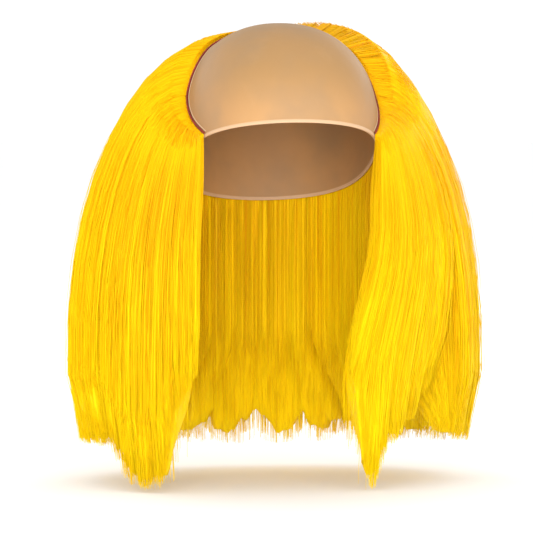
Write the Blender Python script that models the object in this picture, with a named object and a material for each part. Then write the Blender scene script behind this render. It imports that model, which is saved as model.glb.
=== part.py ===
"""Clown headpiece: a bald rubber cap with long straight hair round its sides and back.

The cap is a thin open dome. A thin dark seam cord runs over it from temple to temple, and marks
where the hair starts. Behind the cord the hair hangs in seven bunches, each of several locks.
All sizes are in metres. Up is +Z, the face looks along -Y, and the wearer's left is +X. The
origin is the inside of the crown, where the top of the head touches the cap.
"""

import math

import bmesh
import bpy
from mathutils import Vector

# Cap. The dome's sections are rounded ovals, and its skirt tucks in a little towards the nape.
CAP_WALL = 0.0015
CAP_HALF_WIDTH = 0.0745
CAP_HALF_LENGTH = 0.099
CAP_CROWN_DEPTH = 0.080
CAP_FRONT_DEPTH = 0.0765
CAP_NAPE_DEPTH = 0.138
CAP_NAPE_TUCK = 0.0035
CAP_SKIRT_LEAST = 0.008
CAP_PLAN_POWER = 2.2
CAP_DOME_POWER = 2.2
CAP_COLUMNS = 44
CAP_DOME_RINGS = 9
CAP_SKIRT_RINGS = 3

# Seam cord along the hairline.
SEAM_RADIUS = 0.0008
SEAM_POINTS = 57
PIECE_GAP = 0.0003

# Hair. It arches out from the hairline, and hangs straight below the arch.
HAIR_HALF_WIDTH = 0.161
HAIR_HALF_LENGTH = 0.108
HAIR_CENTRE_BACK = 0.024
HAIR_PLAN_POWER = 2.4
HAIR_ARCH_DEPTH = 0.250
HAIR_ARCH_POWER = 1.93
HAIR_FRONT_EDGE_ANGLE = math.radians(159.5)
HAIR_TIP_DEPTH = 0.363
HAIR_CAP_CLEARANCE = 0.0009
HAIR_ROOT_THICKNESS = 0.004
HAIR_CROWN_LIFT_LEFT = 0.040
HAIR_CROWN_LIFT_RIGHT = 0.005
HAIR_CROWN_LIFT_PEAK = 0.003
HAIR_CROWN_LIFT_REACH = 0.070
BUNCH_PARTING = 0.0012
LOCK_COLUMNS = 3
LOCK_GROOVE_DEPTH = 0.006
LOCK_NOTCH_DEPTH = 0.016
HAIR_ROWS = 20
HAIR_ROW_POWER = 1.7
TIP_TAPER_START_SHARE = 0.72
TIP_THICKNESS_SHARE = 0.25
TIP_TURN_IN_SHARE = 0.25

# A place is 0 at the middle of the back, -1 at the right temple and 1 at the left temple of the
# wearer. The hairline's azimuth is from the face, and its depth is a share of the crown's.
HAIRLINE = (
    # place, azimuth in degrees, depth share
    (0.00, 180.0, 0.080),
    (0.15, 150.0, 0.105),
    (0.30, 122.0, 0.175),
    (0.45, 100.0, 0.280),
    (0.55, 90.5, 0.380),
    (0.65, 84.5, 0.520),
    (0.75, 78.5, 0.710),
    (0.87, 65.0, 0.900),
    (1.00, 49.0, 1.050),
)

# How far down the hair behind the shoulders reaches, as a share of HAIR_TIP_DEPTH.
REAR_LENGTH_SHARES = (
    # place, length
    (0.00, 0.925),
    (0.30, 0.910),
    (0.55, 0.895),
    (0.80, 0.880),
)

# The same for the two bunches at the face. Seen from the front, the right one has a broad end,
# and the left one ends in a point near the face.
FRONT_LENGTH_SHARES = (
    # share of the way towards the face, right bunch, left bunch
    (0.00, 0.860, 0.740),
    (0.15, 0.915, 0.790),
    (0.30, 0.955, 0.830),
    (0.45, 0.970, 0.865),
    (0.60, 0.965, 0.895),
    (0.70, 0.950, 0.935),
    (0.78, 0.850, 0.985),
    (0.86, 0.790, 0.900),
    (0.93, 0.760, 0.780),
    (1.00, 0.745, 0.745),
)

# The seven bunches, each from one place to the next.
BUNCHES = (
    # name, first place, last place, locks
    ("hair_front_right", -1.00, -0.74, 5),
    ("hair_side_right", -0.74, -0.48, 4),
    ("hair_rear_right", -0.48, -0.17, 4),
    ("hair_back", -0.17, 0.17, 4),
    ("hair_rear_left", 0.17, 0.48, 4),
    ("hair_side_left", 0.48, 0.78, 4),
    ("hair_front_left", 0.78, 1.00, 5),
)

# How far the two front bunches lean in towards the face, as a share of HAIR_HALF_WIDTH, and the
# depths between which they do, as shares of HAIR_TIP_DEPTH.
FRONT_LEAN_SHARES = {
    # name: (lean at the side, lean at the face, start, end)
    "hair_front_right": (0.0, -0.04, 0.20, 0.50),
    "hair_front_left": (0.10, 0.15, 0.42, 0.78),
}


def smooth_value(table, at, column):
    """Column of the table at a place between its rows, on a smooth curve through them."""
    last = len(table) - 2
    row = min(last, sum(at >= r[0] for r in table[1:-1]))
    before, start, end, after = (table[max(0, min(last + 1, row + k))] for k in (-1, 0, 1, 2))
    span = end[0] - start[0]
    leaving = (end[column] - before[column]) / (end[0] - before[0]) * span
    arriving = (after[column] - start[column]) / (after[0] - start[0]) * span
    t = (at - start[0]) / span
    return (
        start[column] * (1 + 2 * t) * (1 - t) ** 2
        + leaving * t * (1 - t) ** 2
        + end[column] * t * t * (3 - 2 * t)
        - arriving * t * t * (1 - t)
    )


def ease(t):
    """0 to 1 with level ends."""
    t = max(0.0, min(1.0, t))
    return t * t * (3 - 2 * t)


def arch(t, power):
    """How far across a rounded arch is, as a share, at the share t of its depth."""
    return (1 - (1 - max(0.0, min(1.0, t))) ** power) ** (1 / power)


def cap_plan(azimuth, share, out):
    """Point of the cap's oval section, scaled by share and grown by out."""
    across, along = math.sin(azimuth), -math.cos(azimuth)
    reach = (
        abs(across / (CAP_HALF_WIDTH + out)) ** CAP_PLAN_POWER
        + abs(along / (CAP_HALF_LENGTH + out)) ** CAP_PLAN_POWER
    ) ** (-1 / CAP_PLAN_POWER)
    return reach * share * across, reach * share * along


def skirt_share(depth):
    """Size of the cap's section below the crown."""
    below = (depth - CAP_CROWN_DEPTH) / (CAP_NAPE_DEPTH - CAP_CROWN_DEPTH)
    return 1 - CAP_NAPE_TUCK / CAP_HALF_WIDTH * ease(below)


def cap_point(azimuth, z, out=0.0):
    """Point at height z on the cap's outer surface, or on that surface moved out."""
    depth = CAP_WALL + out - z
    if depth < CAP_CROWN_DEPTH + out:
        share = arch(depth / (CAP_CROWN_DEPTH + out), CAP_DOME_POWER)
    else:
        share = skirt_share(depth - out)
    return Vector((*cap_plan(azimuth, share, out), z))


def cap_normal(azimuth, z):
    """Outward direction of the cap's surface."""
    step = 1e-4
    round_it = cap_point(azimuth + step, z) - cap_point(azimuth - step, z)
    down_it = cap_point(azimuth, z - step) - cap_point(azimuth, z + step)
    return down_it.cross(round_it).normalized()


def rim_depth(azimuth):
    """Depth of the cap's lower edge: high on the forehead, low at the nape."""
    towards_nape = (1 - math.cos(azimuth)) / 2
    return CAP_FRONT_DEPTH + (CAP_NAPE_DEPTH - CAP_FRONT_DEPTH) * towards_nape


def hairline(place):
    """(azimuth, height) of the hairline on the cap."""
    azimuth = math.radians(smooth_value(HAIRLINE, abs(place), 1))
    depth = smooth_value(HAIRLINE, abs(place), 2) * CAP_CROWN_DEPTH
    return (azimuth if place >= 0 else -azimuth), CAP_WALL - depth


def hair_side(place):
    """(direction out of the cap, direction away from the bald part) at the hairline."""
    step = 1e-4
    along = cap_point(*hairline(place + step)) - cap_point(*hairline(place - step))
    out = cap_normal(*hairline(place))
    return out, out.cross(along).normalized()


def hair_root(place):
    """(azimuth, height) where the hair starts, just behind the seam cord."""
    out, away = hair_side(place)
    point = cap_point(*hairline(place)) + away * (SEAM_RADIUS + 2 * PIECE_GAP)
    return math.atan2(point.x, -point.y), point.z


def hair_plan(place):
    """Where the outside of the hair hangs, seen from above."""
    angle = abs(place) * HAIR_FRONT_EDGE_ANGLE
    across = abs(math.sin(angle)) ** (2 / HAIR_PLAN_POWER) * HAIR_HALF_WIDTH
    along = abs(math.cos(angle)) ** (2 / HAIR_PLAN_POWER) * HAIR_HALF_LENGTH
    return (
        math.copysign(across, place),
        HAIR_CENTRE_BACK + math.copysign(along, math.cos(angle)),
    )


def hair_inside(place, drop):
    """Point of the hair's inner side: on the cap, then straight down from it."""
    azimuth, z = hair_root(place)
    hanging = math.copysign(math.pi - abs(place) * (math.pi - abs(hairline(1.0)[0])), place)
    turned = azimuth + (hanging - azimuth) * ease(drop / CAP_CROWN_DEPTH)
    return cap_point(turned, z - drop, HAIR_CAP_CLEARANCE)


def hair_outside(place, drop):
    """Point of the hair's outer side, without the grooves between locks."""
    azimuth, z = hair_root(place)
    root = cap_point(azimuth, z)
    crown = HAIR_CROWN_LIFT_LEFT if place > 0 else HAIR_CROWN_LIFT_RIGHT
    crown *= math.sin(math.pi * abs(place)) * (1 - abs(place)) ** 2
    crown *= ease(drop / HAIR_CROWN_LIFT_PEAK)
    lift = cap_normal(azimuth, z) * (HAIR_CAP_CLEARANCE + HAIR_ROOT_THICKNESS + crown)
    fallen = arch(drop / (HAIR_ARCH_DEPTH - (CAP_WALL - z)), HAIR_ARCH_POWER)
    x, y = hair_plan(place)
    return Vector(
        (
            root.x + lift.x * (1 - fallen) + (x - root.x) * fallen,
            root.y + lift.y * (1 - fallen) + (y - root.y) * fallen,
            z + lift.z * (1 - ease(drop / HAIR_CROWN_LIFT_REACH)) - drop,
        )
    )


def lock_edge(across, locks):
    """0 along the middle of a lock and 1 at its sides, for a share across the bunch."""
    within = across * locks % 1.0
    return abs(2 * within - 1) ** 3


def hair_length(place, across):
    """Depth that the hair reaches at a place, for a share across its bunch."""
    if place < BUNCHES[0][2]:
        return smooth_value(FRONT_LENGTH_SHARES, 1 - across, 1) * HAIR_TIP_DEPTH
    if place > BUNCHES[-1][1]:
        return smooth_value(FRONT_LENGTH_SHARES, across, 2) * HAIR_TIP_DEPTH
    return smooth_value(REAR_LENGTH_SHARES, abs(place), 1) * HAIR_TIP_DEPTH


def new_object(name, mesh, material):
    obj = bpy.data.objects.new(name, mesh)
    bpy.context.scene.collection.objects.link(obj)
    obj.data.materials.append(material)
    return obj


def new_material(name, colour, roughness):
    material = bpy.data.materials.new(name)
    material.use_nodes = True
    shader = material.node_tree.nodes["Principled BSDF"]
    shader.inputs["Base Color"].default_value = (*colour, 1.0)
    shader.inputs["Roughness"].default_value = roughness
    shader.inputs["Metallic"].default_value = 0.0
    return material


def cap_wall_rings(bm, out):
    """One side of the cap's wall, as its top vertex and its rings from the crown to the rim."""
    top = CAP_WALL + out
    azimuths = [2 * math.pi * i / CAP_COLUMNS for i in range(CAP_COLUMNS)]
    shoulders = [top - min(CAP_CROWN_DEPTH, rim_depth(a) - CAP_SKIRT_LEAST) - out for a in azimuths]
    rims = [CAP_WALL - rim_depth(a) for a in azimuths]
    rings = []
    for ring in range(1, CAP_DOME_RINGS + 1):
        angle = math.pi / 2 * ring / CAP_DOME_RINGS
        share = 1 - max(0.0, math.cos(angle)) ** (2 / CAP_DOME_POWER)
        heights = [top + (shoulder - top) * share for shoulder in shoulders]
        rings.append([bm.verts.new(cap_point(a, z, out)) for a, z in zip(azimuths, heights)])
    for ring in range(1, CAP_SKIRT_RINGS + 1):
        share = ring / CAP_SKIRT_RINGS
        heights = [shoulder + (rim - shoulder) * share for shoulder, rim in zip(shoulders, rims)]
        rings.append([bm.verts.new(cap_point(a, z, out)) for a, z in zip(azimuths, heights)])
    return bm.verts.new((0, 0, top)), rings


def build_cap(material):
    bm = bmesh.new()
    outer_top, outer = cap_wall_rings(bm, 0.0)
    inner_top, inner = cap_wall_rings(bm, -CAP_WALL)
    for top, rings in ((outer_top, outer), (inner_top, inner)):
        for i in range(CAP_COLUMNS):
            j = (i + 1) % CAP_COLUMNS
            bm.faces.new((top, rings[0][i], rings[0][j]))
            for upper, lower in zip(rings, rings[1:]):
                bm.faces.new((upper[i], lower[i], lower[j], upper[j]))
    for i in range(CAP_COLUMNS):
        j = (i + 1) % CAP_COLUMNS
        bm.faces.new((outer[-1][i], inner[-1][i], inner[-1][j], outer[-1][j]))
    bmesh.ops.recalc_face_normals(bm, faces=bm.faces)
    mesh = bpy.data.meshes.new("bald_cap")
    bm.to_mesh(mesh)
    bm.free()
    mesh.shade_smooth()
    return new_object("bald_cap", mesh, material)


def build_seam(material):
    """The seam cord, from temple to temple over the back of the crown."""
    curve = bpy.data.curves.new("seam_cord", "CURVE")
    curve.dimensions = "3D"
    curve.bevel_depth = SEAM_RADIUS
    curve.bevel_resolution = 1
    curve.use_fill_caps = True
    spline = curve.splines.new("POLY")
    spline.points.add(SEAM_POINTS - 1)
    for i, point in enumerate(spline.points):
        place = -1 + 2 * i / (SEAM_POINTS - 1)
        centre = cap_point(*hairline(place)) + hair_side(place)[0] * (SEAM_RADIUS + PIECE_GAP)
        point.co = (*centre, 1.0)
    return new_object("seam_cord", curve, material)


def front_lean(name, depth, place, across):
    """How far a bunch has moved in towards the face at a depth, as a step along X."""
    if name not in FRONT_LEAN_SHARES:
        return Vector()
    at_side, at_face, start, end = FRONT_LEAN_SHARES[name]
    inwards = across if place > 0 else 1 - across
    lean = (at_side + (at_face - at_side) * inwards) * HAIR_HALF_WIDTH
    lean *= ease((depth / HAIR_TIP_DEPTH - start) / (end - start))
    return Vector((-lean if place > 0 else lean, 0, 0))


def bunch_surfaces(name, first, last, locks):
    """Rows of points of a bunch's outer and inner sides, from root to tip."""
    columns = locks * LOCK_COLUMNS
    parting = BUNCH_PARTING / (2 * HAIR_HALF_WIDTH)
    start, end = first + parting * (first > -1), last - parting * (last < 1)
    outer, inner = [], []
    for row in range(HAIR_ROWS + 1):
        fall = (row / HAIR_ROWS) ** HAIR_ROW_POWER
        tapered = ease((fall - TIP_TAPER_START_SHARE) / (1 - TIP_TAPER_START_SHARE))
        tip_taper = (1 - TIP_THICKNESS_SHARE) * tapered
        outer.append([])
        inner.append([])
        for column in range(columns + 1):
            across = column / columns
            place = start + (end - start) * across
            edge = lock_edge(across, locks)
            root_depth = CAP_WALL - hair_root(place)[1]
            drop = fall * (hair_length(place, across) - LOCK_NOTCH_DEPTH * edge - root_depth)
            far, near = hair_outside(place, drop), hair_inside(place, drop)
            lean = front_lean(name, root_depth + drop, place, across)
            wall = far - near
            groove = LOCK_GROOVE_DEPTH * edge * ease(fall / TIP_TAPER_START_SHARE)
            near += lean + wall * tip_taper
            far += lean - wall.normalized() * min(groove, wall.length / 3)
            far -= wall * TIP_TURN_IN_SHARE * tip_taper**3
            outer[-1].append(far)
            inner[-1].append(near)
    return outer, inner


def build_bunch(name, first, last, locks, material):
    """One bunch of hair: locks side by side, joined along their whole length into one body."""
    outer, inner = bunch_surfaces(name, first, last, locks)
    bm = bmesh.new()
    far = [[bm.verts.new(p) for p in row] for row in outer]
    near = [[bm.verts.new(p) for p in row] for row in inner]
    for rows in (far, near):
        for upper, lower in zip(rows, rows[1:]):
            for i in range(len(upper) - 1):
                bm.faces.new((upper[i], lower[i], lower[i + 1], upper[i + 1]))
    for end in (0, -1):
        for i in range(len(far[end]) - 1):
            bm.faces.new((far[end][i], near[end][i], near[end][i + 1], far[end][i + 1]))
        for upper in range(HAIR_ROWS):
            lower = upper + 1
            bm.faces.new((far[upper][end], near[upper][end], near[lower][end], far[lower][end]))
    bmesh.ops.recalc_face_normals(bm, faces=bm.faces)
    mesh = bpy.data.meshes.new(name)
    bm.to_mesh(mesh)
    bm.free()
    mesh.shade_smooth()
    return new_object(name, mesh, material)


def build():
    for obj in list(bpy.data.objects):
        bpy.data.objects.remove(obj, do_unlink=True)
    rubber = new_material("cap_rubber", (0.76, 0.46, 0.21), 0.55)
    thread = new_material("seam_thread", (0.17, 0.012, 0.008), 0.7)
    hair = new_material("yellow_hair", (0.97, 0.60, 0.01), 0.45)
    build_cap(rubber)
    build_seam(thread)
    for name, first, last, locks in BUNCHES:
        build_bunch(name, first, last, locks, hair)


build()
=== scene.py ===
"""Looks of the clown headpiece: a bald cap of matt rubber with long straight yellow hair.

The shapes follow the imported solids. The cap is one thin dome with a rolled lower edge. A raised
welt and a twisted thread run along its hairline. Each of the seven bunches of hair is a ribbed
body that fills the solid, under loose strands that Geometry Nodes lay over it. All sizes are in
metres. Up is +Z, the face looks along -Y, and the wearer's left is +X.
"""

import math

import bmesh
import bpy
from mathutils import Matrix, Vector, noise


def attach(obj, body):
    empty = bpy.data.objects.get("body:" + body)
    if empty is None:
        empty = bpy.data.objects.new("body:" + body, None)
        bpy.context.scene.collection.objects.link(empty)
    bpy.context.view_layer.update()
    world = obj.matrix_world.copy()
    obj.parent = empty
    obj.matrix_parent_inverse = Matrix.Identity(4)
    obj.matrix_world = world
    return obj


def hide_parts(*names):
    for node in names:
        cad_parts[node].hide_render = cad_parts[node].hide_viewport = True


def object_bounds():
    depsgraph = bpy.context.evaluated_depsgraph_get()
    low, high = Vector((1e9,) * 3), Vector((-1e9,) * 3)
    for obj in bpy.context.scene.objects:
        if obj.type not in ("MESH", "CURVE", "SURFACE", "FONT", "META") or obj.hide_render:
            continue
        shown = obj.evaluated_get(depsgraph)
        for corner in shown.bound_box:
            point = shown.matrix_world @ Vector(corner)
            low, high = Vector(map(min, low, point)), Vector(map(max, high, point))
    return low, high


# Camera, floor and light.
VIEW_TARGET = Vector((-0.014, -0.030, -0.184))
VIEW_AZIMUTH = math.radians(-8.5)
VIEW_ELEVATION = math.radians(2.5)
VIEW_DISTANCE = 2.4
VIEW_WIDTH = 0.405
SENSOR_WIDTH = 36.0
VIEW_REACH = 200.0
FLOOR_DROP = 0.002
FLOOR_HALF_WIDTH = 60.0
SURROUNDINGS_STRENGTH = 1.06

LIGHTS = (
    # name, place, size, power in watts
    ("key", (-0.8, -2.7, 0.0), 1.7, 62.0),
    ("fill", (0.8, -2.8, 0.2), 1.7, 28.0),
    ("rear_left", (1.8, 2.4, 0.6), 1.6, 20.0),
    ("rear_right", (-1.8, 2.4, 0.6), 1.6, 20.0),
)

# Cap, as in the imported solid.
CAP_WALL = 0.0015
CAP_HALF_WIDTH = 0.0745
CAP_HALF_LENGTH = 0.099
CAP_CROWN_DEPTH = 0.080
CAP_FRONT_DEPTH = 0.0765
CAP_NAPE_DEPTH = 0.138
CAP_NAPE_TUCK = 0.0035
CAP_PLAN_POWER = 2.2
CAP_DOME_POWER = 2.2

# Finer parts of the cap that only the visual model has.
CAP_SKIRT_LEAST = 0.008
CAP_COLUMNS = 168
CAP_DOME_RINGS = 40
CAP_SKIRT_RINGS = 12
ROLL_RADIUS = 0.0011
ROLL_PROUD = 0.0006
ROLL_HEIGHTS = (2.6, 2.2, 1.8, 1.4, 1.0, 0.6, 0.3, 0.1)
WELT_RADIUS = 0.0006
WELT_RISE_SHARE = -0.35

# Seam thread along the hairline.
SEAM_RADIUS = 0.0008
SEAM_POINTS = 160
PIECE_GAP = 0.0003
THREAD_PLY_SHARE = 0.56
THREAD_PITCH = 0.0036
THREAD_STEP = 0.0003

# Hair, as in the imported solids.
HAIR_HALF_WIDTH = 0.161
HAIR_HALF_LENGTH = 0.108
HAIR_CENTRE_BACK = 0.024
HAIR_PLAN_POWER = 2.4
HAIR_ARCH_DEPTH = 0.250
HAIR_ARCH_POWER = 1.93
HAIR_FRONT_EDGE_ANGLE = math.radians(159.5)
HAIR_TIP_DEPTH = 0.363
HAIR_CAP_CLEARANCE = 0.0009
HAIR_ROOT_THICKNESS = 0.004
HAIR_CROWN_LIFT_LEFT = 0.040
HAIR_CROWN_LIFT_RIGHT = 0.005
HAIR_CROWN_LIFT_PEAK = 0.003
HAIR_CROWN_LIFT_REACH = 0.070
BUNCH_PARTING = 0.0012
LOCK_GROOVE_DEPTH = 0.006
LOCK_NOTCH_DEPTH = 0.016
TIP_TAPER_START = 0.72
TIP_THICKNESS_SHARE = 0.25
TIP_TURN_IN = 0.25

# Body of a bunch, under its strands.
BODY_COLUMNS_PER_LOCK = 16
BODY_ROWS = 44
BODY_ROW_POWER = 1.7
BODY_START = 0.012
BODY_END = 0.962
BODY_END_RAGGED = 0.03
BODY_SIDE_INSET = 0.02
BODY_INSET_ROOT = 0.0022
BODY_INSET = 0.0026
BODY_RIB_DEPTH = 0.0010
BODY_RIBS_PER_METRE = 420

# Strands of hair, as thin three-sided tubes. Their points crowd towards the root, where they bend.
STRAND_POINTS = 12
STRAND_POINT_POWER = 2.0
STRAND_RADIUS = 0.00021
STRAND_LAYER_DEPTH = 0.0028
STRAND_INNER_SHARE = 0.12
STRAND_HEM_SHARE_FRONT = 0.14
STRAND_HEM_SHARE_REAR = 0.26
STRAND_REAR_REACH = 0.35
STRAND_CLUMPS = 34.0
STRAND_GATHER = 0.30
STRAND_WANDER = 0.0016
STRAND_STRAY = 0.012
STRAND_SEED_STEP = 100

# Guide surfaces that the strands lie on. They bridge most of each groove and notch.
GUIDE_COLUMNS_PER_LOCK = 10
GUIDE_ROWS = 48
GUIDE_GROOVE_SHARE = 0.3
GUIDE_NOTCH_SHARE = 0.45

HAIRLINE = (
    # place, azimuth in degrees, depth share
    (0.00, 180.0, 0.080),
    (0.15, 150.0, 0.105),
    (0.30, 122.0, 0.175),
    (0.45, 100.0, 0.280),
    (0.55, 90.5, 0.380),
    (0.65, 84.5, 0.520),
    (0.75, 78.5, 0.710),
    (0.87, 65.0, 0.900),
    (1.00, 49.0, 1.050),
)

REAR_LENGTHS = (
    # place, length share
    (0.00, 0.925),
    (0.30, 0.910),
    (0.55, 0.895),
    (0.80, 0.880),
)

FRONT_LENGTHS = (
    # share of the way towards the face, right bunch, left bunch
    (0.00, 0.860, 0.740),
    (0.15, 0.915, 0.790),
    (0.30, 0.955, 0.830),
    (0.45, 0.970, 0.865),
    (0.60, 0.965, 0.895),
    (0.70, 0.950, 0.935),
    (0.78, 0.850, 0.985),
    (0.86, 0.790, 0.900),
    (0.93, 0.760, 0.780),
    (1.00, 0.745, 0.745),
)

BUNCHES = (
    # name, first place, last place, locks, strands, share of them at the bare edge, that edge
    ("front_right", -1.00, -0.74, 5, 2000, 0.10, 0.0),
    ("side_right", -0.74, -0.48, 4, 1650, 0.04, 1.0),
    ("rear_right", -0.48, -0.17, 4, 1600, 0.0, 0.0),
    ("back", -0.17, 0.17, 4, 1700, 0.0, 0.0),
    ("rear_left", 0.17, 0.48, 4, 1600, 0.0, 0.0),
    ("side_left", 0.48, 0.78, 4, 1850, 0.20, 1.0),
    ("front_left", 0.78, 1.00, 5, 2000, 0.10, 1.0),
)

FRONT_LEANS = {
    # name: (lean at the side, lean at the face, start, end)
    "front_right": (0.0, -0.04, 0.20, 0.50),
    "front_left": (0.10, 0.15, 0.42, 0.78),
}


def smooth_value(table, at, column):
    """Column of the table at a place between its rows, on a smooth curve through them."""
    last = len(table) - 2
    row = min(last, sum(at >= r[0] for r in table[1:-1]))
    before, start, end, after = (table[max(0, min(last + 1, row + k))] for k in (-1, 0, 1, 2))
    span = end[0] - start[0]
    leaving = (end[column] - before[column]) / (end[0] - before[0]) * span
    arriving = (after[column] - start[column]) / (after[0] - start[0]) * span
    t = (at - start[0]) / span
    return (
        start[column] * (1 + 2 * t) * (1 - t) ** 2
        + leaving * t * (1 - t) ** 2
        + end[column] * t * t * (3 - 2 * t)
        - arriving * t * t * (1 - t)
    )


def ease(t):
    """0 to 1 with level ends."""
    t = max(0.0, min(1.0, t))
    return t * t * (3 - 2 * t)


def arch(t, power):
    """How far across a rounded arch is, as a share, at the share t of its depth."""
    return (1 - (1 - max(0.0, min(1.0, t))) ** power) ** (1 / power)


def cap_plan(azimuth, share, out):
    """Point of the cap's oval section, scaled by share and grown by out."""
    across, along = math.sin(azimuth), -math.cos(azimuth)
    reach = (
        abs(across / (CAP_HALF_WIDTH + out)) ** CAP_PLAN_POWER
        + abs(along / (CAP_HALF_LENGTH + out)) ** CAP_PLAN_POWER
    ) ** (-1 / CAP_PLAN_POWER)
    return reach * share * across, reach * share * along


def skirt_share(depth):
    """Size of the cap's section below the crown."""
    below = (depth - CAP_CROWN_DEPTH) / (CAP_NAPE_DEPTH - CAP_CROWN_DEPTH)
    return 1 - CAP_NAPE_TUCK / CAP_HALF_WIDTH * ease(below)


def cap_point(azimuth, z, out=0.0):
    """Point at height z on the cap's outer surface, or on that surface moved out."""
    depth = CAP_WALL + out - z
    if depth < CAP_CROWN_DEPTH + out:
        share = arch(depth / (CAP_CROWN_DEPTH + out), CAP_DOME_POWER)
    else:
        share = skirt_share(depth - out)
    return Vector((*cap_plan(azimuth, share, out), z))


def cap_normal(azimuth, z):
    """Outward direction of the cap's surface."""
    step = 1e-4
    round_it = cap_point(azimuth + step, z) - cap_point(azimuth - step, z)
    down_it = cap_point(azimuth, z - step) - cap_point(azimuth, z + step)
    return down_it.cross(round_it).normalized()


def rim_depth(azimuth):
    """Depth of the cap's lower edge: high on the forehead, low at the nape."""
    towards_nape = (1 - math.cos(azimuth)) / 2
    return CAP_FRONT_DEPTH + (CAP_NAPE_DEPTH - CAP_FRONT_DEPTH) * towards_nape


def hairline(place):
    """(azimuth, height) of the hairline on the cap, for a place from -1 to 1 round the back."""
    azimuth = math.radians(smooth_value(HAIRLINE, abs(place), 1))
    depth = smooth_value(HAIRLINE, abs(place), 2) * CAP_CROWN_DEPTH
    return (azimuth if place >= 0 else -azimuth), CAP_WALL - depth


def hair_side(place):
    """(direction out of the cap, direction away from the bald part) at the hairline."""
    step = 1e-4
    along = cap_point(*hairline(place + step)) - cap_point(*hairline(place - step))
    out = cap_normal(*hairline(place))
    return out, out.cross(along).normalized()


def hair_root(place):
    """(azimuth, height) where the hair starts, just behind the seam thread."""
    away = hair_side(place)[1]
    point = cap_point(*hairline(place)) + away * (SEAM_RADIUS + 2 * PIECE_GAP)
    return math.atan2(point.x, -point.y), point.z


def hair_plan(place):
    """Where the outside of the hair hangs, seen from above."""
    angle = abs(place) * HAIR_FRONT_EDGE_ANGLE
    across = abs(math.sin(angle)) ** (2 / HAIR_PLAN_POWER) * HAIR_HALF_WIDTH
    along = abs(math.cos(angle)) ** (2 / HAIR_PLAN_POWER) * HAIR_HALF_LENGTH
    return (
        math.copysign(across, place),
        HAIR_CENTRE_BACK + math.copysign(along, math.cos(angle)),
    )


def hair_inside(root, place, drop):
    """Point of the hair's inner side: on the cap, then straight down from it."""
    azimuth, z = root
    hanging = math.copysign(math.pi - abs(place) * (math.pi - abs(hairline(1.0)[0])), place)
    turned = azimuth + (hanging - azimuth) * ease(drop / CAP_CROWN_DEPTH)
    return cap_point(turned, z - drop, HAIR_CAP_CLEARANCE)


def hair_outside(root, place, drop):
    """Point of the hair's outer side, without the grooves between locks."""
    azimuth, z = root
    start = cap_point(azimuth, z)
    crown = HAIR_CROWN_LIFT_LEFT if place > 0 else HAIR_CROWN_LIFT_RIGHT
    crown *= math.sin(math.pi * abs(place)) * (1 - abs(place)) ** 2
    crown *= ease(drop / HAIR_CROWN_LIFT_PEAK)
    lift = cap_normal(azimuth, z) * (HAIR_CAP_CLEARANCE + HAIR_ROOT_THICKNESS + crown)
    fallen = arch(drop / (HAIR_ARCH_DEPTH - (CAP_WALL - z)), HAIR_ARCH_POWER)
    x, y = hair_plan(place)
    return Vector(
        (
            start.x + lift.x * (1 - fallen) + (x - start.x) * fallen,
            start.y + lift.y * (1 - fallen) + (y - start.y) * fallen,
            z + lift.z * (1 - ease(drop / HAIR_CROWN_LIFT_REACH)) - drop,
        )
    )


def hair_length(place, across):
    """Depth that the hair reaches at a place, for a share across its bunch."""
    if place < BUNCHES[0][2]:
        return smooth_value(FRONT_LENGTHS, 1 - across, 1) * HAIR_TIP_DEPTH
    if place > BUNCHES[-1][1]:
        return smooth_value(FRONT_LENGTHS, across, 2) * HAIR_TIP_DEPTH
    return smooth_value(REAR_LENGTHS, abs(place), 1) * HAIR_TIP_DEPTH


def front_lean(name, depth, place, across):
    """How far a bunch has moved in towards the face at a depth, as a step along X."""
    if name not in FRONT_LEANS:
        return Vector()
    at_side, at_face, start, end = FRONT_LEANS[name]
    inwards = across if place > 0 else 1 - across
    lean = (at_side + (at_face - at_side) * inwards) * HAIR_HALF_WIDTH
    lean *= ease((depth / HAIR_TIP_DEPTH - start) / (end - start))
    return Vector((-lean if place > 0 else lean, 0, 0))


def tip_taper(fall):
    """Share of the hair's thickness that is gone at a share of its length."""
    return (1 - TIP_THICKNESS_SHARE) * ease((fall - TIP_TAPER_START) / (1 - TIP_TAPER_START))


def bunch_column(bunch, across, falls, groove_share=1.0, notch_share=1.0):
    """(outer, inner) points of a bunch down one column, at each share of its length.

    The inner points run straight down, without the taper at the tip.
    """
    name, first, last, locks = bunch[:4]
    parting = BUNCH_PARTING / (2 * HAIR_HALF_WIDTH)
    start, end = first + parting * (first > -1), last - parting * (last < 1)
    place = start + (end - start) * across
    edge = abs(2 * (across * locks % 1.0) - 1) ** 3
    root = hair_root(place)
    root_depth = CAP_WALL - root[1]
    length = hair_length(place, across) - LOCK_NOTCH_DEPTH * notch_share * edge - root_depth
    points = []
    for fall in falls:
        drop = fall * length
        far, near = hair_outside(root, place, drop), hair_inside(root, place, drop)
        lean = front_lean(name, root_depth + drop, place, across)
        wall = far - near
        groove = LOCK_GROOVE_DEPTH * groove_share * edge * ease(fall / TIP_TAPER_START)
        far += lean - wall.normalized() * min(groove, wall.length / 3)
        far -= wall * TIP_TURN_IN * tip_taper(fall) ** 3
        points.append((far, near + lean))
    return points


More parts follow.
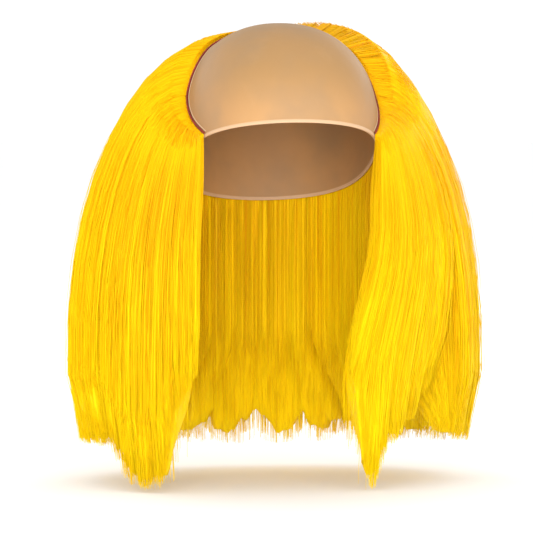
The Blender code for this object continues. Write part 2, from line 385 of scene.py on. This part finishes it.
class Field:
    """A node socket to calculate with: each operation on it adds a Math node to its tree."""

    def __init__(self, tree, socket):
        self.tree = tree
        self.socket = socket

    def math(self, operation, *others, clamp=False):
        node = self.tree.nodes.new("ShaderNodeMath")
        node.operation = operation
        node.use_clamp = clamp
        for socket, value in zip(node.inputs, (self, *others)):
            feed(self.tree, socket, value)
        return Field(self.tree, node.outputs[0])

    def __add__(self, other):
        return self.math("ADD", other)

    def __sub__(self, other):
        return self.math("SUBTRACT", other)

    def __rsub__(self, other):
        return self * -1.0 + other

    def __mul__(self, other):
        return self.math("MULTIPLY", other)

    def __truediv__(self, other):
        return self.math("DIVIDE", other)

    def __pow__(self, other):
        return self.math("POWER", other)

    def towards(self, other, share):
        """This value at share 0 and the other at share 1."""
        return (other - self) * share + self

    def eased(self, start, end):
        """0 where this is start and 1 where it is end, with level ends."""
        node = self.tree.nodes.new("ShaderNodeMapRange")
        node.interpolation_type = "SMOOTHSTEP"
        for key, value in (("Value", self), ("From Min", start), ("From Max", end)):
            feed(self.tree, node.inputs[key], value)
        return Field(self.tree, node.outputs["Result"])


def feed(tree, socket, value):
    """Gives a socket a plain value, or links it to what makes the value."""
    if isinstance(value, Field):
        tree.links.new(value.socket, socket)
    elif isinstance(value, bpy.types.NodeSocket):
        tree.links.new(value, socket)
    else:
        socket.default_value = value


def add_node(tree, kind, inputs=(), **settings):
    """A node with its settings, whose inputs are given by name or by number."""
    node = tree.nodes.new(kind)
    for key, value in settings.items():
        setattr(node, key, value)
    for key, value in dict(inputs).items():
        if isinstance(key, str):
            socket = next(s for s in node.inputs if s.enabled and s.name == key)
        else:
            socket = node.inputs[key]
        feed(tree, socket, value)
    return node


def vector_math(tree, operation, *values):
    """Output of a Vector Math node on the values. A Field or a number scales where it can."""
    node = tree.nodes.new("ShaderNodeVectorMath")
    node.operation = operation
    for k, value in enumerate(values):
        is_scale = operation == "SCALE" and k == 1
        feed(tree, node.inputs["Scale"] if is_scale else node.inputs[k], value)
    return node.outputs["Value" if operation in ("LENGTH", "DOT_PRODUCT") else "Vector"]


def new_tree(name, inputs):
    """A Geometry Nodes tree with a geometry input and output, and the named inputs given."""
    tree = bpy.data.node_groups.new(name, "GeometryNodeTree")
    tree.interface.new_socket("Geometry", in_out="INPUT", socket_type="NodeSocketGeometry")
    tree.interface.new_socket("Geometry", in_out="OUTPUT", socket_type="NodeSocketGeometry")
    for label, kind in inputs:
        tree.interface.new_socket(label, in_out="INPUT", socket_type="NodeSocket" + kind)
    given = tree.nodes.new("NodeGroupInput").outputs
    return tree, {socket.name: Field(tree, socket) for socket in given if socket.name}


def finish_tree(tree, geometry, material):
    """Ends a tree in real meshes with their material."""
    real = add_node(tree, "GeometryNodeRealizeInstances", {"Geometry": geometry})
    smooth = add_node(tree, "GeometryNodeSetShadeSmooth", {"Geometry": real.outputs[0]})
    coated = add_node(
        tree, "GeometryNodeSetMaterial", {"Geometry": smooth.outputs[0], "Material": material}
    )
    tree.links.new(coated.outputs[0], tree.nodes.new("NodeGroupOutput").inputs[0])


def grow(name, source, tree, values):
    """Plain mesh object of what the tree makes from the source, which is removed."""
    modifier = source.modifiers.new("grow", "NODES")
    modifier.node_group = tree
    for item in tree.interface.items_tree:
        if item.in_out == "INPUT" and item.name in values:
            modifier[item.identifier] = values[item.name]
    source.update_tag()
    evaluated = source.evaluated_get(bpy.context.evaluated_depsgraph_get())
    mesh = bpy.data.meshes.new_from_object(evaluated)
    mesh.name = name
    bpy.data.objects.remove(source, do_unlink=True)
    return place_piece(name, mesh)


def place_piece(name, data):
    obj = bpy.data.objects.new(name, data)
    bpy.context.scene.collection.objects.link(obj)
    return obj


def float_attribute(mesh, name, values):
    """Stores one number for each vertex."""
    mesh.attributes.new(name, "FLOAT", "POINT").data.foreach_set("value", values)


def new_material(name):
    """(material, its tree, its shader) for a node material."""
    material = bpy.data.materials.new(name)
    material.use_nodes = True
    tree = material.node_tree
    return material, tree, tree.nodes["Principled BSDF"]


def read_attribute(tree, name):
    node = add_node(tree, "ShaderNodeAttribute", attribute_name=name)
    return Field(tree, node.outputs["Fac"])


def noise_value(tree, where, scale, detail=2.0, roughness=0.5):
    node = add_node(
        tree,
        "ShaderNodeTexNoise",
        {"Vector": where, "Scale": scale, "Detail": detail, "Roughness": roughness},
    )
    return Field(tree, node.outputs[0])


def mix_colours(tree, share, first, second):
    node = add_node(tree, "ShaderNodeMix", {"Factor": share, "A": first, "B": second}, data_type="RGBA")
    return next(s for s in node.outputs if s.enabled)


def rubber_material():
    """Matt skin-coloured rubber: soft brown clouding, paler towards its edges, finely pored, with painted
    shade that darkens its top and sides.
    """
    material, tree, shader = new_material("cap_rubber_finish")
    spot = add_node(tree, "ShaderNodeTexCoord").outputs["Object"]
    clouds = noise_value(tree, spot, 17.0, 3.0, 0.55)
    smudges = noise_value(tree, spot, 48.0, 4.0, 0.6)
    pores = noise_value(tree, spot, 1900.0, 2.0, 0.6)
    ripple = noise_value(tree, spot, 62.0, 2.0, 0.5)
    pale = read_attribute(tree, "pale")
    height = Field(tree, add_node(tree, "ShaderNodeSeparateXYZ", {"Vector": spot}).outputs["Z"])
    # Darker at the top and paler low down: partly the rubber's own tone, partly painted shade where the dome
    # turns up away from the light.
    low = height.eased(-0.030, -0.085)
    sideways = Field(tree, add_node(tree, "ShaderNodeSeparateXYZ", {"Vector": spot}).outputs["X"])
    # Painted shade: darker towards the sides of the dome, where the light falls off round it.
    side_painted_shade = sideways.math("ABSOLUTE").eased(0.035, 0.075)
    skin = mix_colours(tree, low, (0.37, 0.205, 0.076, 1), (0.51, 0.272, 0.105, 1))
    skin = mix_colours(tree, side_painted_shade * 0.45, skin, (0.33, 0.180, 0.085, 1))
    clouded = mix_colours(tree, clouds.eased(0.36, 0.70) * 0.5, skin, (0.29, 0.190, 0.105, 1))
    smudged = mix_colours(tree, smudges.eased(0.5, 0.8) * 0.2, clouded, (0.46, 0.275, 0.13, 1))
    edged = mix_colours(tree, pale * 0.75, smudged, (0.66, 0.44, 0.27, 1))
    feed(tree, shader.inputs["Base Color"], edged)
    feed(tree, shader.inputs["Roughness"], smudges * 0.16 + clouds * 0.12 + 0.47)
    soft_bump = add_node(
        tree, "ShaderNodeBump", {"Strength": 0.5, "Distance": 0.0009, "Height": ripple}
    )
    fine_bump = add_node(
        tree,
        "ShaderNodeBump",
        {"Strength": 0.35, "Distance": 0.00012, "Height": pores, "Normal": soft_bump.outputs[0]},
    )
    feed(tree, shader.inputs["Normal"], fine_bump.outputs[0])
    shader.inputs["Specular IOR Level"].default_value = 0.32
    return material


def thread_and_shadow_line_material():
    """Dull dark red thread with fine fibres along it. Its dark red is partly painted shade, standing in for
    the shadow line between the hair and the cap.
    """
    material, tree, shader = new_material("seam_thread_and_shadow_line_finish")
    spot = add_node(tree, "ShaderNodeTexCoord").outputs["Object"]
    fibres = noise_value(tree, spot, 2600.0, 3.0, 0.7)
    patches = noise_value(tree, spot, 140.0, 2.0, 0.5)
    # Painted shade: this dark red also stands for the shadow in the crevice between the hair and the cap.
    red = mix_colours(tree, patches.eased(0.35, 0.65), (0.30, 0.020, 0.010, 1), (0.17, 0.012, 0.008, 1))
    feed(tree, shader.inputs["Base Color"], mix_colours(tree, fibres * 0.4, red, (0.42, 0.07, 0.03, 1)))
    feed(tree, shader.inputs["Roughness"], fibres * 0.25 + 0.6)
    bump = add_node(tree, "ShaderNodeBump", {"Strength": 0.6, "Distance": 0.0001, "Height": fibres})
    feed(tree, shader.inputs["Normal"], bump.outputs[0])
    return material


def hair_material(name, streaks_across):
    """Bright yellow synthetic hair, with strands from orange to lemon, painted shade in deeper orange at the
    roots, and lemon towards the tips.
    """
    material, tree, shader = new_material(name)
    tone = read_attribute(tree, "tone")
    along = read_attribute(tree, "along")
    across = read_attribute(tree, "across")
    lie = add_node(
        tree, "ShaderNodeCombineXYZ", {"X": across * streaks_across, "Y": along * 3.0, "Z": tone * 5.0}
    ).outputs[0]
    streaks = noise_value(tree, lie, 1.0, 3.0, 0.6)
    bands = noise_value(
        tree,
        add_node(tree, "ShaderNodeCombineXYZ", {"X": across * 14.0, "Y": along * 2.2}).outputs[0],
        1.0,
        2.0,
        0.5,
    )
    shade = tone * 0.45 + streaks * 0.35 + bands * 0.35
    deep, mid, lemon = (0.92, 0.43, 0.001, 1), (0.95, 0.60, 0.001, 1), (0.96, 0.72, 0.002, 1)
    lower = mix_colours(tree, shade.eased(0.28, 0.60), deep, mid)
    upper = mix_colours(tree, shade.eased(0.55, 0.85), lower, lemon)
    # Painted shade: deeper orange near the roots, where the hair shades itself beside the seam.
    root_shaded = mix_colours(tree, along.eased(0.30, 0.0) * 0.5, upper, (0.92, 0.42, 0.001, 1))
    tipped = mix_colours(tree, along.eased(0.35, 1.0) * 0.5, root_shaded, (0.96, 0.73, 0.002, 1))
    feed(tree, shader.inputs["Base Color"], tipped)
    feed(tree, shader.inputs["Roughness"], streaks * 0.22 + 0.40)
    bump = add_node(tree, "ShaderNodeBump", {"Strength": 0.5, "Distance": 0.0006, "Height": streaks})
    feed(tree, shader.inputs["Normal"], bump.outputs[0])
    shader.inputs["Specular IOR Level"].default_value = 0.25
    shader.inputs["Specular Tint"].default_value = (1.0, 0.78, 0.25, 1)
    return material


def cap_side(bm, out, rolled):
    """One side of the cap's wall: (top vertex, rings, how pale each ring is)."""
    top = CAP_WALL + out
    azimuths = [2 * math.pi * i / CAP_COLUMNS for i in range(CAP_COLUMNS)]
    shoulders = [top - min(CAP_CROWN_DEPTH, rim_depth(a) - CAP_SKIRT_LEAST) - out for a in azimuths]
    rims = [CAP_WALL - rim_depth(a) for a in azimuths]
    rings, pales = [], []

    def add_ring(heights, proud, pale):
        points = [cap_point(a, z, out + proud) for a, z in zip(azimuths, heights)]
        rings.append([bm.verts.new(p) for p in points])
        pales.append(pale)

    for ring in range(1, CAP_DOME_RINGS + 1):
        angle = math.pi / 2 * ring / CAP_DOME_RINGS
        share = 1 - max(0.0, math.cos(angle)) ** (2 / CAP_DOME_POWER)
        add_ring([top + (shoulder - top) * share for shoulder in shoulders], 0.0, 0.0)
    roll_top = ROLL_HEIGHTS[0] * ROLL_RADIUS
    for ring in range(1, CAP_SKIRT_RINGS + 1):
        share = ring / CAP_SKIRT_RINGS
        heights = [
            shoulder + (rim + roll_top - shoulder) * share for shoulder, rim in zip(shoulders, rims)
        ]
        add_ring(heights, 0.0, 0.0)
    for height in ROLL_HEIGHTS[1:]:
        proud = ROLL_PROUD * math.sqrt(max(0.0, 1 - (height - 1) ** 2)) if rolled else 0.0
        add_ring([rim + height * ROLL_RADIUS for rim in rims], proud, 1.0)
    return bm.verts.new((0, 0, top)), rings, pales


def build_cap(material):
    """The rubber cap: a thin closed shell with a rolled lower edge."""
    bm = bmesh.new()
    pale_layer = bm.verts.layers.float.new("pale")
    outer_top, outer, outer_pales = cap_side(bm, 0.0, True)
    inner_top, inner, inner_pales = cap_side(bm, -CAP_WALL, False)
    for top, rings, pales in ((outer_top, outer, outer_pales), (inner_top, inner, inner_pales)):
        for ring, pale in zip(rings, pales):
            for vert in ring:
                vert[pale_layer] = pale
        for i in range(CAP_COLUMNS):
            j = (i + 1) % CAP_COLUMNS
            bm.faces.new((top, rings[0][i], rings[0][j]))
            for upper, lower in zip(rings, rings[1:]):
                bm.faces.new((upper[i], lower[i], lower[j], upper[j]))
    for i in range(CAP_COLUMNS):
        j = (i + 1) % CAP_COLUMNS
        bm.faces.new((outer[-1][i], inner[-1][i], inner[-1][j], outer[-1][j]))
    bmesh.ops.recalc_face_normals(bm, faces=bm.faces)
    mesh = bpy.data.meshes.new("cap_dome")
    bm.to_mesh(mesh)
    bm.free()
    mesh.materials.append(material)
    mesh.shade_smooth()
    return place_piece("cap_dome", mesh)


def hairline_curve(name, toward_hair, rise):
    """Source object with a line of points along the hairline, moved over the cap."""
    curve = bpy.data.curves.new(name, "CURVE")
    curve.dimensions = "3D"
    spline = curve.splines.new("POLY")
    spline.points.add(SEAM_POINTS - 1)
    for i, point in enumerate(spline.points):
        place = -1 + 2 * i / (SEAM_POINTS - 1)
        out, away = hair_side(place)
        moved = cap_point(*hairline(place)) + away * toward_hair
        on_cap = cap_point(math.atan2(moved.x, -moved.y), moved.z)
        point.co = (*(on_cap + out * rise), 1.0)
    return place_piece(name, curve)


def thread_tree():
    """Two plies twisted round a path."""
    tree, given = new_tree(
        "twisted thread",
        (
            ("Ply Radius", "Float"),
            ("Twist Radius", "Float"),
            ("Pitch", "Float"),
            ("Step", "Float"),
            ("Material", "Material"),
        ),
    )
    fine = add_node(
        tree,
        "GeometryNodeResampleCurve",
        {"Curve": given["Geometry"], "Length": given["Step"]},
        mode="LENGTH",
    ).outputs[0]
    way = Field(tree, add_node(tree, "GeometryNodeSplineParameter").outputs["Length"])
    tangent = add_node(tree, "GeometryNodeInputTangent").outputs[0]
    normal = add_node(tree, "GeometryNodeInputNormal").outputs[0]
    across = vector_math(tree, "CROSS_PRODUCT", tangent, normal)
    ring = add_node(
        tree, "GeometryNodeCurvePrimitiveCircle", {"Resolution": 7, "Radius": given["Ply Radius"]}
    ).outputs[0]
    join = tree.nodes.new("GeometryNodeJoinGeometry")
    for start in (0.0, math.pi):
        turn = way / given["Pitch"] * (2 * math.pi) + start
        one = vector_math(tree, "SCALE", normal, turn.math("COSINE") * given["Twist Radius"])
        two = vector_math(tree, "SCALE", across, turn.math("SINE") * given["Twist Radius"])
        moved = add_node(
            tree,
            "GeometryNodeSetPosition",
            {"Geometry": fine, "Offset": vector_math(tree, "ADD", one, two)},
        ).outputs[0]
        ply = add_node(
            tree, "GeometryNodeCurveToMesh", {"Curve": moved, "Profile Curve": ring, "Fill Caps": True}
        )
        tree.links.new(ply.outputs[0], join.inputs[0])
    finish_tree(tree, join.outputs[0], given["Material"])
    return tree


def build_thread(material):
    ply = SEAM_RADIUS * THREAD_PLY_SHARE
    values = {
        "Ply Radius": ply,
        "Twist Radius": SEAM_RADIUS - ply,
        "Pitch": THREAD_PITCH,
        "Step": THREAD_STEP,
        "Material": material,
    }
    path = hairline_curve("seam_path", 0.0, SEAM_RADIUS + PIECE_GAP)
    return grow("seam_twist", path, thread_tree(), values)


def build_welt(material):
    """A low rounded ridge of rubber on the bald side of the thread."""
    path = hairline_curve("cap_welt", -SEAM_RADIUS - WELT_RADIUS, WELT_RADIUS * WELT_RISE_SHARE)
    path.data.bevel_depth = WELT_RADIUS
    path.data.bevel_resolution = 2
    path.data.use_fill_caps = True
    evaluated = path.evaluated_get(bpy.context.evaluated_depsgraph_get())
    mesh = bpy.data.meshes.new_from_object(evaluated)
    bpy.data.objects.remove(path, do_unlink=True)
    mesh.name = "cap_welt"
    mesh.materials.clear()
    mesh.materials.append(material)
    float_attribute(mesh, "pale", [1.0] * len(mesh.vertices))
    mesh.shade_smooth()
    return place_piece("cap_welt", mesh)


def body_depth(fall, across, number):
    """How deep the body's outer side lies under the solid's, with its ribs."""
    rib = noise.noise(Vector((across * BODY_RIBS_PER_METRE * 0.1, fall * 4.0, number * 7.3)))
    inset = BODY_INSET_ROOT + (BODY_INSET - BODY_INSET_ROOT) * ease(fall / 0.3)
    return inset + BODY_RIB_DEPTH * (rib + 0.5) * ease(fall / 0.2)


def build_body(number, bunch, material):
    """Body of a bunch: the solid's form, a little inside it, with ribs along the hair."""
    name, locks = bunch[0], bunch[3]
    columns = locks * BODY_COLUMNS_PER_LOCK
    bm = bmesh.new()
    layers = {key: bm.verts.layers.float.new(key) for key in ("tone", "along", "across")}
    far, near = [], []
    for column in range(columns + 1):
        across = 0.5 + (column / columns - 0.5) * (1 - 2 * BODY_SIDE_INSET)
        ragged = noise.noise(Vector((across * 31.0, number * 5.1, 0.5)))
        end = BODY_END + BODY_END_RAGGED * ragged
        falls = [
            BODY_START + (end - BODY_START) * (row / BODY_ROWS) ** BODY_ROW_POWER
            for row in range(BODY_ROWS + 1)
        ]
        far.append([])
        near.append([])
        for fall, (outer, inner) in zip(falls, bunch_column(bunch, across, falls)):
            inner = inner.lerp(outer, tip_taper(fall))
            wall = inner - outer
            step = wall.normalized()
            depth = min(body_depth(fall, across, number), wall.length / 2)
            back = min(body_depth(fall, across, number + 20) / 2, wall.length / 4)
            for side, point in ((far, outer + step * depth), (near, inner - step * back)):
                vert = bm.verts.new(point)
                vert[layers["tone"]] = 0.5
                vert[layers["along"]] = fall
                vert[layers["across"]] = number + across
                side[-1].append(vert)
    for side in (far, near):
        for left, right in zip(side, side[1:]):
            for row in range(BODY_ROWS):
                bm.faces.new((left[row], left[row + 1], right[row + 1], right[row]))
    for left, right, left_in, right_in in zip(far, far[1:], near, near[1:]):
        for row in (0, -1):
            bm.faces.new((left[row], right[row], right_in[row], left_in[row]))
    for side, side_in in ((far[0], near[0]), (far[-1], near[-1])):
        for row in range(BODY_ROWS):
            bm.faces.new((side[row], side[row + 1], side_in[row + 1], side_in[row]))
    bmesh.ops.recalc_face_normals(bm, faces=bm.faces)
    mesh = bpy.data.meshes.new("hair_body_" + name)
    bm.to_mesh(mesh)
    bm.free()
    mesh.materials.append(material)
    mesh.shade_smooth()
    return place_piece("hair_body_" + name, mesh)


def build_guide(bunch):
    """Source object: a bunch's outer side as a grid, that also holds where its inner side is."""
    columns = bunch[3] * GUIDE_COLUMNS_PER_LOCK
    shares = [(row / GUIDE_ROWS) ** BODY_ROW_POWER for row in range(GUIDE_ROWS + 1)]
    outer, inner, lie = [], [], []
    for column in range(columns + 1):
        across = column / columns
        points = bunch_column(bunch, across, shares, GUIDE_GROOVE_SHARE, GUIDE_NOTCH_SHARE)
        for fall, (far, near) in zip(shares, points):
            outer.append(far)
            inner.append(near)
            lie.append((across, fall))
    faces = []
    for column in range(columns):
        for row in range(GUIDE_ROWS):
            a = column * (GUIDE_ROWS + 1) + row
            faces.append((a, a + 1, a + GUIDE_ROWS + 2, a + GUIDE_ROWS + 1))
    mesh = bpy.data.meshes.new("guide")
    mesh.from_pydata(outer, [], faces)
    flat = [value for point in inner for value in point]
    mesh.attributes.new("inner_side", "FLOAT_VECTOR", "POINT").data.foreach_set("vector", flat)
    corners = mesh.uv_layers.new(name="lie")
    for loop in mesh.loops:
        corners.uv[loop.index].vector = lie[loop.vertex_index]
    return place_piece("guide", mesh)


def strand_tree():
    """Strands of hair laid over a bunch, from its root to its tips."""
    tree, given = new_tree(
        "hair strands",
        (
            ("Strands", "Int"),
            ("Points", "Int"),
            ("Radius", "Float"),
            ("Layer Depth", "Float"),
            ("Inner Share", "Float"),
            ("Hem Share", "Float"),
            ("Edge Share", "Float"),
            ("Edge Across", "Float"),
            ("Clumps", "Float"),
            ("Gather", "Float"),
            ("Wander", "Float"),
            ("Stray", "Float"),
            ("Bunch", "Float"),
            ("Seed", "Int"),
            ("Material", "Material"),
        ),
    )
    line = add_node(tree, "GeometryNodeCurvePrimitiveLine", {"End": (0, 0, 1)}, mode="POINTS")
    pointed = add_node(
        tree, "GeometryNodeResampleCurve", {"Curve": line.outputs[0], "Count": given["Points"]}
    )
    copies = add_node(
        tree,
        "GeometryNodeDuplicateElements",
        {"Geometry": pointed.outputs[0], "Amount": given["Strands"]},
        domain="SPLINE",
    ).outputs["Geometry"]
    order = Field(tree, add_node(tree, "GeometryNodeCurveOfPoint").outputs["Curve Index"])
    way = Field(tree, add_node(tree, "GeometryNodeSplineParameter").outputs["Factor"])

    def chance(draw, of=order):
        """A number from 0 to 1, the same all along a strand, or for all of a clump."""
        node = add_node(
            tree,
            "FunctionNodeRandomValue",
            {"ID": of, "Seed": given["Seed"] + draw},
            data_type="FLOAT",
        )
        return Field(tree, next(s for s in node.outputs if s.enabled))

    # Three kinds of strand: most lie on the outer side, some hang on the inner side and end at
    # the start of the taper, and the hem's are short ends that hang out of the taper.
    kind = chance(9)
    is_inner = kind.math("LESS_THAN", given["Inner Share"])
    is_hem = (kind * -1.0 + 1.0).math("LESS_THAN", given["Hem Share"])
    spread = (order + chance(1)) / given["Strands"]
    clump = (spread * given["Clumps"] + chance(2) - 0.5).math("FLOOR")
    full = (chance(3) ** 3.0 * -0.06 + 1.0) * (chance(21, clump) * -0.02 + 1.0)
    taper_run = 1.0 - TIP_TAPER_START
    hem_place = chance(16)
    hem_end = hem_place * taper_run + TIP_TAPER_START + 0.02 + chance(17) * 0.12
    hem_end = hem_end * (chance(3) * -0.03 + 1.0)
    along = way**STRAND_POINT_POWER * full.towards(chance(3) * 0.12 + TIP_TAPER_START, is_inner)
    along = along.towards(hem_end - (way * -1.0 + 1.0) * 0.30, is_hem).math("MINIMUM", 0.999)

    # Across the bunch: evenly spread, then gathered a little towards the middle of each clump.
    middle = (clump + 0.5) / given["Clumps"]
    across = spread.towards(middle, along * along * given["Gather"])
    sway = (along * (chance(22, clump) + 0.5) * 6.0 + chance(23, clump) * 6.3).math("SINE")
    across = across + sway * along * 0.006 + (chance(4) - 0.5) * along * 0.03
    at_edge = chance(5).math("LESS_THAN", given["Edge Share"])
    edge_across = given["Edge Across"].towards(0.5, chance(6) * 0.03)
    across = across.towards(edge_across, at_edge).math("MINIMUM", 0.998).math("MAXIMUM", 0.002)

    # On the guide: the outer side, the inner side, and the way between them.
    lie = add_node(
        tree, "ShaderNodeCombineXYZ", {"X": across, "Y": along.math("MINIMUM", 0.999)}
    ).outputs[0]
    uv_map = add_node(
        tree, "GeometryNodeInputNamedAttribute", {"Name": "lie"}, data_type="FLOAT_VECTOR"
    ).outputs[0]
    inner_side = add_node(
        tree, "GeometryNodeInputNamedAttribute", {"Name": "inner_side"}, data_type="FLOAT_VECTOR"
    ).outputs[0]
    sides = []
    for value in (add_node(tree, "GeometryNodeInputPosition").outputs[0], inner_side):
        sampled = add_node(
            tree,
            "GeometryNodeSampleUVSurface",
            {"Mesh": given["Geometry"], "Value": value, "UV Map": uv_map, "Sample UV": lie},
            data_type="FLOAT_VECTOR",
        )
        sides.append(next(s for s in sampled.outputs if s.enabled))
    wall = vector_math(tree, "SUBTRACT", sides[1], sides[0])
    whole = Field(tree, vector_math(tree, "LENGTH", wall))
    thickness = whole * (along.eased(TIP_TAPER_START, 1.0) * (TIP_THICKNESS_SHARE - 1.0) + 1.0)
    inwards = vector_math(tree, "NORMALIZE", wall)

    # Depth under the outer side: thin layers on both sides, mixed at the root and at the tip.
    layer = given["Layer Depth"] * (along.eased(0.0, 0.3) * 0.75 + 0.25)
    outer_depth = chance(7) * layer + chance(24, clump) * along * 0.0015
    outer_depth = outer_depth.towards(chance(12) * thickness * 0.5, along.eased(0.85, 1.0))
    depth = outer_depth.towards(whole - chance(8) * layer * 0.6, is_inner)
    hem_share = hem_place.eased(0.0, 1.0) * (TIP_THICKNESS_SHARE - 1.0) + 1.0
    depth = depth.towards(whole * hem_share - chance(8) * layer, is_hem)
    depth = depth.towards(chance(10) * thickness, at_edge)
    depth = (chance(11) * thickness).towards(depth, along.eased(0.0, 0.045))
    moved = vector_math(tree, "ADD", sides[0], vector_math(tree, "SCALE", inwards, depth))

    # Small wandering, and a few strands that stray from the rest.
    cloud = add_node(
        tree,
        "ShaderNodeTexNoise",
        {
            "Vector": add_node(
                tree, "ShaderNodeCombineXYZ", {"X": order * 3.7, "Y": along * 2.4, "Z": given["Bunch"]}
            ).outputs[0],
            "Scale": 1.0,
            "Detail": 1.0,
        },
    ).outputs["Color"]
    centred = vector_math(tree, "SUBTRACT", cloud, (0.5, 0.5, 0.5))
    stray = (chance(13) - 0.985).math("MAXIMUM", 0.0) / 0.015
    reach = (given["Wander"] + stray * given["Stray"]) * along.eased(0.0, 0.5)
    moved = vector_math(tree, "ADD", moved, vector_math(tree, "SCALE", centred, reach))
    outwards = stray * given["Stray"] * along.eased(0.02, 0.35) * -0.4
    moved = vector_math(tree, "ADD", moved, vector_math(tree, "SCALE", inwards, outwards))

    laid = add_node(
        tree, "GeometryNodeSetPosition", {"Geometry": copies, "Position": moved}
    ).outputs[0]
    tone = chance(14) * 0.6 + chance(25, clump) * 0.4
    for label, value in (("tone", tone), ("along", along), ("across", across + given["Bunch"])):
        laid = add_node(
            tree,
            "GeometryNodeStoreNamedAttribute",
            {"Geometry": laid, "Name": label, "Value": value},
            data_type="FLOAT",
            domain="POINT",
        ).outputs[0]
    thick = given["Radius"] * (chance(15) * 0.5 + 0.75) * (way.eased(0.8, 1.0) * -0.45 + 1.0)
    ring = add_node(tree, "GeometryNodeCurvePrimitiveCircle", {"Resolution": 3, "Radius": 1.0}).outputs[0]
    ring = add_node(
        tree,
        "GeometryNodeStoreNamedAttribute",
        {
            "Geometry": ring,
            "Name": "around",
            "Value": Field(tree, add_node(tree, "GeometryNodeInputIndex").outputs[0]) * 0.5,
        },
        data_type="FLOAT",
        domain="POINT",
    ).outputs[0]
    tubes = add_node(
        tree,
        "GeometryNodeCurveToMesh",
        {"Curve": laid, "Profile Curve": ring, "Scale": thick, "Fill Caps": False},
    ).outputs[0]
    read = {
        label: Field(
            tree,
            add_node(
                tree, "GeometryNodeInputNamedAttribute", {"Name": label}, data_type="FLOAT"
            ).outputs[0],
        )
        for label in ("tone", "along", "around")
    }
    flat = add_node(
        tree,
        "ShaderNodeCombineXYZ",
        {"X": read["tone"] * 0.95 + read["around"] * 0.02 + 0.01, "Y": read["along"] * 0.98 + 0.01},
    ).outputs[0]
    mapped = add_node(
        tree,
        "GeometryNodeStoreNamedAttribute",
        {"Geometry": tubes, "Name": "OFBake", "Value": flat},
        data_type="FLOAT2",
        domain="CORNER",
    ).outputs[0]
    finish_tree(tree, mapped, given["Material"])
    return tree


def build_strands(number, bunch, tree, material):
    name, first, last, _, strands, edge_share, edge_across = bunch
    is_rear = abs(first + last) / 2 < STRAND_REAR_REACH
    values = {
        "Strands": strands,
        "Points": STRAND_POINTS,
        "Radius": STRAND_RADIUS,
        "Layer Depth": STRAND_LAYER_DEPTH,
        "Inner Share": STRAND_INNER_SHARE,
        "Hem Share": STRAND_HEM_SHARE_REAR if is_rear else STRAND_HEM_SHARE_FRONT,
        "Edge Share": edge_share,
        "Edge Across": edge_across,
        "Clumps": STRAND_CLUMPS,
        "Gather": STRAND_GATHER,
        "Wander": STRAND_WANDER,
        "Stray": STRAND_STRAY,
        "Bunch": float(number),
        "Seed": STRAND_SEED_STEP * number,
        "Material": material,
    }
    return grow("hair_strands_" + name, build_guide(bunch), tree, values)


def add_camera():
    away = Vector(
        (
            math.sin(VIEW_AZIMUTH) * math.cos(VIEW_ELEVATION),
            -math.cos(VIEW_AZIMUTH) * math.cos(VIEW_ELEVATION),
            math.sin(VIEW_ELEVATION),
        )
    )
    camera = bpy.data.objects.new("camera", bpy.data.cameras.new("camera"))
    bpy.context.scene.collection.objects.link(camera)
    turn = (-away).to_track_quat("-Z", "Y").to_matrix().to_4x4()
    camera.matrix_world = Matrix.Translation(VIEW_TARGET + away * VIEW_DISTANCE) @ turn
    camera.data.sensor_width = SENSOR_WIDTH
    camera.data.lens = SENSOR_WIDTH * VIEW_DISTANCE / VIEW_WIDTH
    camera.data.clip_end = VIEW_REACH
    bpy.context.scene.camera = camera


def add_light(name, place, size, power):
    """A square soft box that faces the middle of the object."""
    light = bpy.data.lights.new(name, "AREA")
    light.shape = "SQUARE"
    light.size = size
    light.energy = power
    lamp = bpy.data.objects.new(name, light)
    bpy.context.scene.collection.objects.link(lamp)
    place = Vector(place)
    turn = (VIEW_TARGET - place).to_track_quat("-Z", "Y").to_matrix().to_4x4()
    lamp.matrix_world = Matrix.Translation(place) @ turn


def add_studio(floor_height):
    """Pale floor, white surroundings and soft boxes round the object."""
    half = FLOOR_HALF_WIDTH
    mesh = bpy.data.meshes.new("floor")
    corners = [(x, y, floor_height) for x, y in ((-half, -half), (half, -half), (half, half), (-half, half))]
    mesh.from_pydata(corners, [], [(0, 1, 2, 3)])
    material, _, shader = new_material("pale_floor")
    shader.inputs["Base Color"].default_value = (0.95, 0.95, 0.95, 1)
    shader.inputs["Roughness"].default_value = 0.9
    shader.inputs["Specular IOR Level"].default_value = 0.1
    mesh.materials.append(material)
    place_piece("floor", mesh)
    world = bpy.data.worlds.new("studio")
    world.use_nodes = True
    background = world.node_tree.nodes["Background"]
    background.inputs["Color"].default_value = (1, 1, 1, 1)
    background.inputs["Strength"].default_value = SURROUNDINGS_STRENGTH
    bpy.context.scene.world = world
    for light in LIGHTS:
        add_light(*light)
    bpy.context.scene.view_settings.view_transform = "Standard"


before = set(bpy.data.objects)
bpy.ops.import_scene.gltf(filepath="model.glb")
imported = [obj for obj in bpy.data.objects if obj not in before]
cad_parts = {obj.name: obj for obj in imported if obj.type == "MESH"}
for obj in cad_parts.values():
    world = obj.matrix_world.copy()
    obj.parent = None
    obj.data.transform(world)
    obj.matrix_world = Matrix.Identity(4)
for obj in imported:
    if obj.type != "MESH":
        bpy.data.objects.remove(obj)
cad_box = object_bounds()
add_camera()
add_studio(cad_box[0][2] - FLOOR_DROP)

rubber = rubber_material()
thread = thread_and_shadow_line_material()
body_hair = hair_material("yellow_hair_body", 260.0)
strand_hair = hair_material("yellow_hair_strands", 90.0)

cap = build_cap(rubber)
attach(cap, "root")
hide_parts("bald_cap")

welt = build_welt(rubber)
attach(welt, "root")

seam = build_thread(thread)
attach(seam, "root")
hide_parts("seam_cord")

strands_tree = strand_tree()
for number, bunch in enumerate(BUNCHES):
    body = build_body(number, bunch, body_hair)
    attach(body, "root")
    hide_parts("hair_" + bunch[0])
    loose = build_strands(number, bunch, strands_tree, strand_hair)
    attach(loose, "root")
